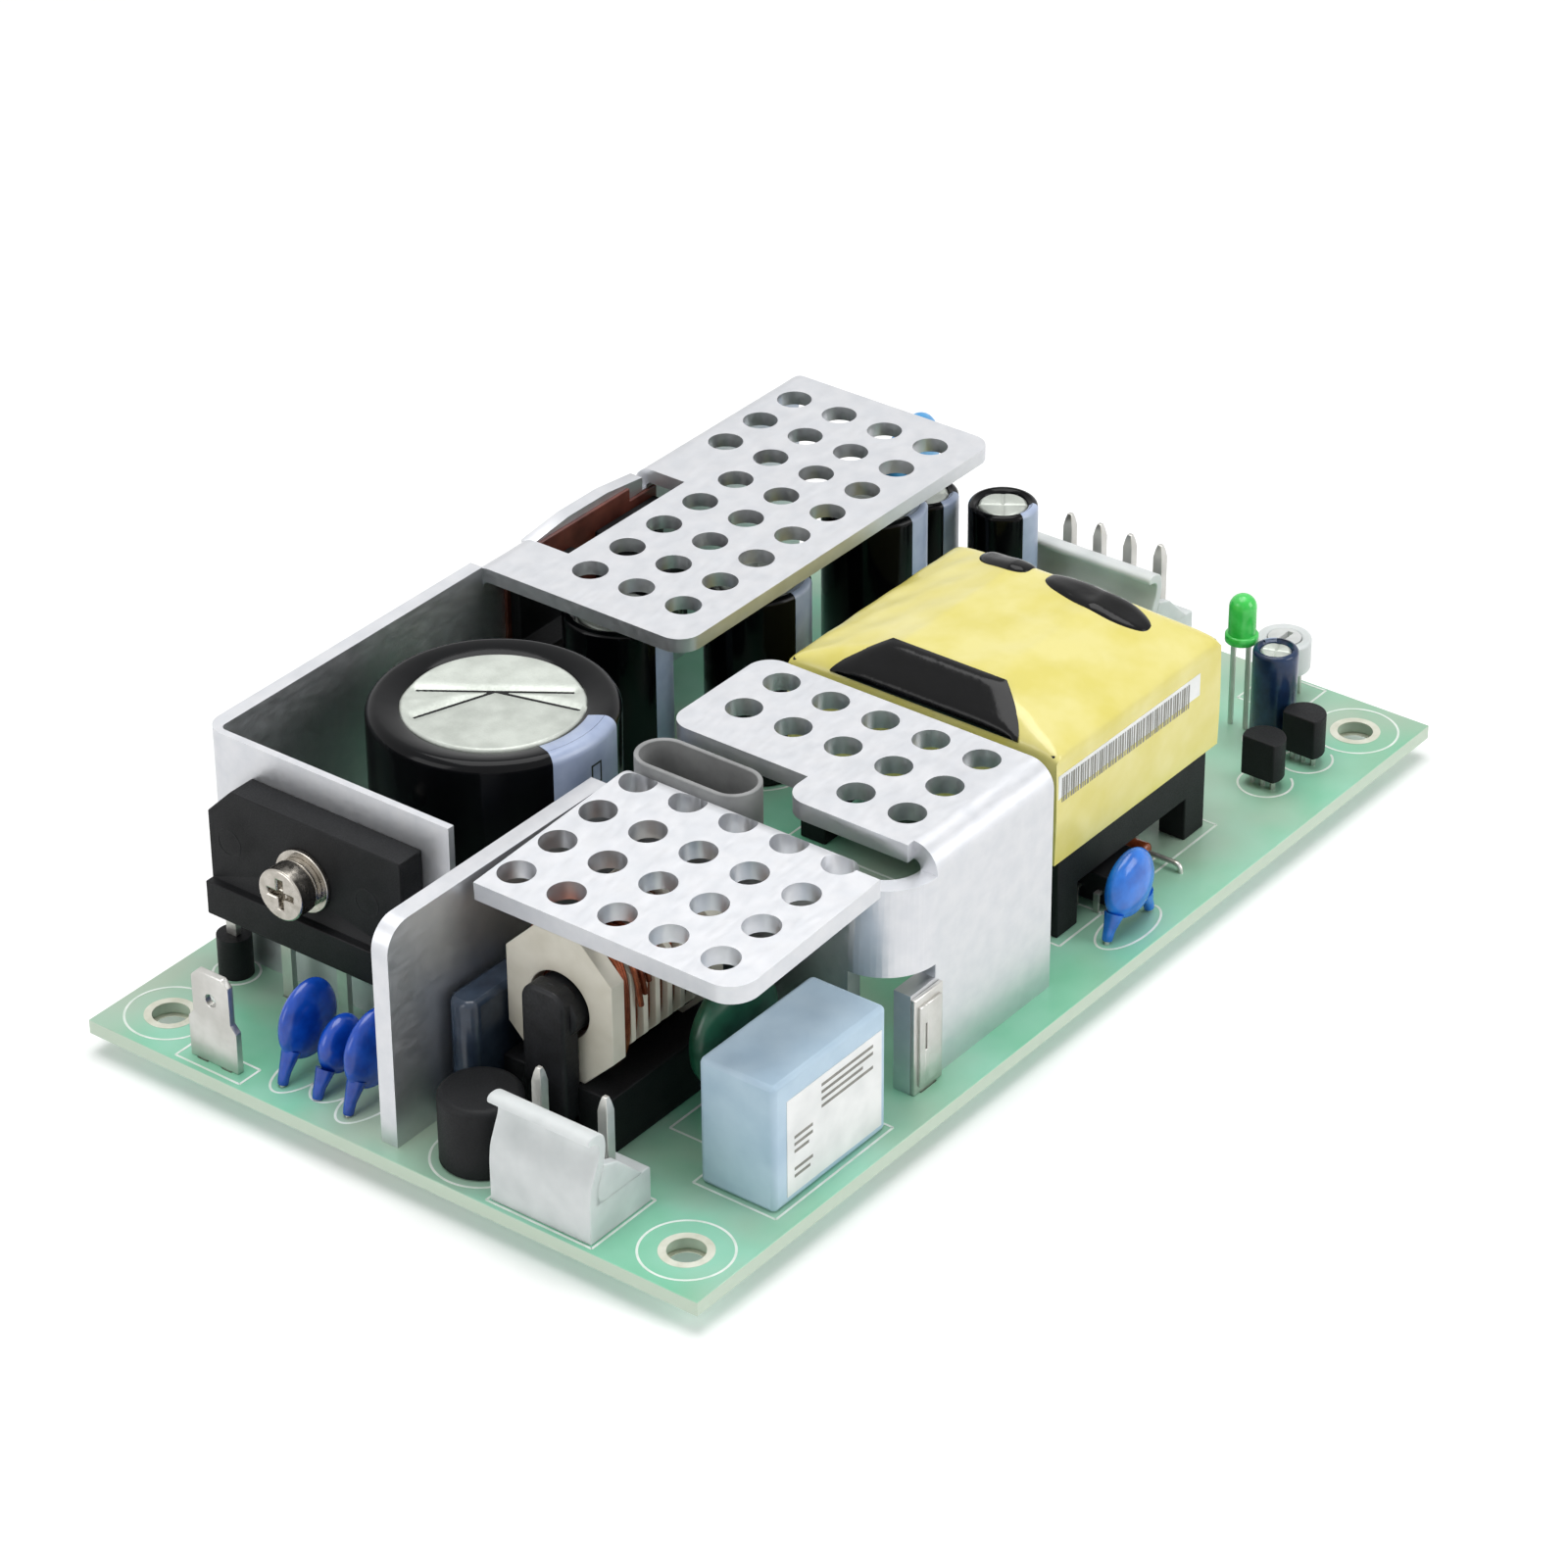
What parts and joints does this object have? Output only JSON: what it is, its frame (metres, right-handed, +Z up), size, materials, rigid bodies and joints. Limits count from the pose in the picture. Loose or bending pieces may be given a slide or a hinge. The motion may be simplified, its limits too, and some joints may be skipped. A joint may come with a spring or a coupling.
{
  "type": "open frame power supply",
  "caption": "Open frame mains power supply on a circuit board, with two folded perforated heatsinks, transformer, filter parts and wafer headers",
  "frame": {"origin": "centre of the four mounting holes, on the underside of the board", "axes": "+X along the board from the mains input to the output, +Y across the board to the side with the rectifier heatsink, +Z up out of the component side"},
  "size_m": [0.127, 0.0762, 0.0274],
  "materials": {
    "board": "glass fibre board with pale green solder mask",
    "aluminium": "bare satin sheet",
    "tinned_metal": "tin plated, slightly dull",
    "moulding_black": "matte black moulding",
    "ferrite": "sintered ferrite",
    "nickel": "bright nickel plating",
    "can_aluminium": "etched aluminium",
    "sleeve_black": "glossy heat-shrunk sleeve",
    "sleeve_blue": "glossy dark blue sleeve",
    "silicone": "grey silicone rubber",
    "pad_brown": "reddish brown insulating sheet",
    "coil_black": "glossy black insulation",
    "tape_yellow": "polyester tape",
    "nylon_cream": "cream nylon",
    "copper": "enamelled copper wire",
    "resin_slate": "dipped grey blue resin",
    "resin_pale_blue": "pale blue box",
    "resin_blue": "dipped blue resin",
    "resin_bright_blue": "dipped bright blue resin",
    "resin_light_blue": "dipped light blue resin",
    "resin_green": "dipped green resin",
    "nylon_white": "translucent white nylon",
    "nylon_grey": "pale grey nylon",
    "lens_green": "green tinted lens",
    "diode_brown": "reddish brown glass"
  },
  "bodies": {
    "supply": {"circuit_board": "board", "rectifier_heatsink": "aluminium", "switch_heatsink": "aluminium", "heatsink_clips": "tinned_metal", "bridge_rectifier_body": "moulding_black", "bridge_rectifier_leads": "tinned_metal", "ferrite_bead": "ferrite", "rectifier_screw": "nickel", "spring_washer": "nickel", "flat_washer": "nickel", "bulk_capacitor_can": "can_aluminium", "bulk_capacitor_sleeve": "sleeve_black", "output_capacitor_cans": "can_aluminium", "output_capacitor_sleeves": "sleeve_black", "slim_capacitor_cans": "can_aluminium", "slim_capacitor_sleeves": "sleeve_black", "small_capacitor_can": "can_aluminium", "small_capacitor_sleeve": "sleeve_blue", "switching_transistor": "moulding_black", "silicone_tube": "silicone", "insulating_pad": "pad_brown", "output_rectifiers": "moulding_black", "rectifier_clamp": "nickel", "clamp_screw": "nickel", "transformer_core": "ferrite", "transformer_winding": "coil_black", "transformer_tape": "tape_yellow", "transformer_bobbin": "moulding_black", "transformer_pins": "tinned_metal", "choke_bobbin": "nylon_cream", "choke_winding": "copper", "choke_core": "ferrite", "choke_base": "moulding_black", "fuse": "moulding_black", "film_capacitor": "resin_slate", "suppressor_capacitor": "resin_pale_blue", "input_disc_capacitors": "resin_blue", "side_disc_capacitor": "resin_bright_blue", "far_disc_capacitor": "resin_light_blue", "varistor": "resin_green", "component_leads": "tinned_metal", "input_header_housing": "nylon_white", "input_header_pins": "tinned_metal", "output_header_housing": "nylon_white", "output_header_pins": "tinned_metal", "ground_tab": "tinned_metal", "indicator": "lens_green", "indicator_leads": "tinned_metal", "trimmer_body": "nylon_white", "trimmer_leads": "tinned_metal", "small_transistors": "moulding_black", "small_transistor_leads": "tinned_metal", "optical_isolators": "moulding_black", "isolator_leads": "tinned_metal", "glass_diode": "diode_brown"},
    "rotor": {"trimmer_rotor": "nylon_grey"}
  },
  "joints": [
    {"name": "trimmer_turn", "type": "hinge", "parent": "supply", "child": "rotor", "pos_m": [0.0596, -0.0219, 0.0082], "axis": [0, 0, 1], "range_deg": [-120, 120]}
  ]
}
